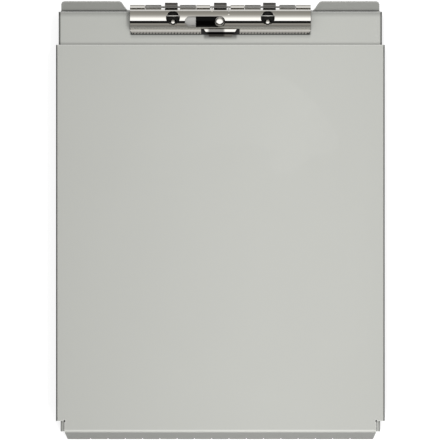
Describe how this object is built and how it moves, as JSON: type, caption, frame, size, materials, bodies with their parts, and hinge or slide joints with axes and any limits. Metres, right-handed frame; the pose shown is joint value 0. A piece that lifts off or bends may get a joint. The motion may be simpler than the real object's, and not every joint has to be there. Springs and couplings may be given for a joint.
{
  "type": "storage clipboard box",
  "caption": "Flat sheet metal form box with a hinged writing cover, an arched spring clip and a spring latch at the clip end.",
  "frame": {"origin": "middle of the bounding box's bottom face, on the surface that the box lies on", "axes": "+Y along the box to the clip end, +Z out of the writing cover, +X to the right with the clip at the top"},
  "size_m": [0.2414, 0.3218, 0.0241],
  "materials": {
    "brushed_aluminium": "brushed along its length, clear satin",
    "rivet_aluminium": "plain",
    "pin_steel": "drawn wire",
    "dark_spring_steel": "dark satin",
    "satin_steel": "matt plated",
    "bright_chrome": "mirror bright",
    "black_paint": "black satin",
    "spring_wire": "bright wire"
  },
  "bodies": {
    "tray": {"tray_pan": "brushed_aluminium", "cover_hinge_pin": "pin_steel"},
    "latch": {"latch_wall": "brushed_aluminium", "latch_hook_left": "dark_spring_steel", "latch_hook_middle": "dark_spring_steel", "latch_hook_right": "dark_spring_steel", "latch_rivets": "rivet_aluminium"},
    "cover": {"writing_panel": "brushed_aluminium", "header_plate": "brushed_aluminium", "clip_base": "satin_steel", "clip_rivet_left": "bright_chrome", "clip_rivet_right": "bright_chrome", "clip_pin": "bright_chrome", "clip_spring_left": "spring_wire", "clip_spring_right": "spring_wire"},
    "jaw": {"clip_jaw": "bright_chrome", "lock_guide": "satin_steel"},
    "lock": {"lock_bar": "black_paint", "lock_knob": "bright_chrome"}
  },
  "joints": [
    {"name": "cover_hinge", "type": "hinge", "parent": "tray", "child": "cover", "pos_m": [0, -0.15915, 0.00175], "axis": [1, 0, 0], "range_deg": [0, 112]},
    {"name": "latch_flex", "type": "hinge", "parent": "tray", "child": "latch", "pos_m": [0, 0.1544, 0], "axis": [-1, 0, 0], "range_deg": [0, 12], "stiffness_Nm_per_rad": 1, "springref_deg": -5.73},
    {"name": "jaw_hinge", "type": "hinge", "parent": "cover", "child": "jaw", "pos_m": [0, 0.1565, 0.0161], "axis": [-1, 0, 0], "range_deg": [0, 60], "stiffness_Nm_per_rad": 0.15, "springref_deg": -45.84, "deforming": ["clip_spring_left", "clip_spring_right"]},
    {"name": "lock_slide", "type": "slide", "parent": "jaw", "child": "lock", "axis": [-1, 0, 0], "range_m": [0, 0.0214]}
  ]
}
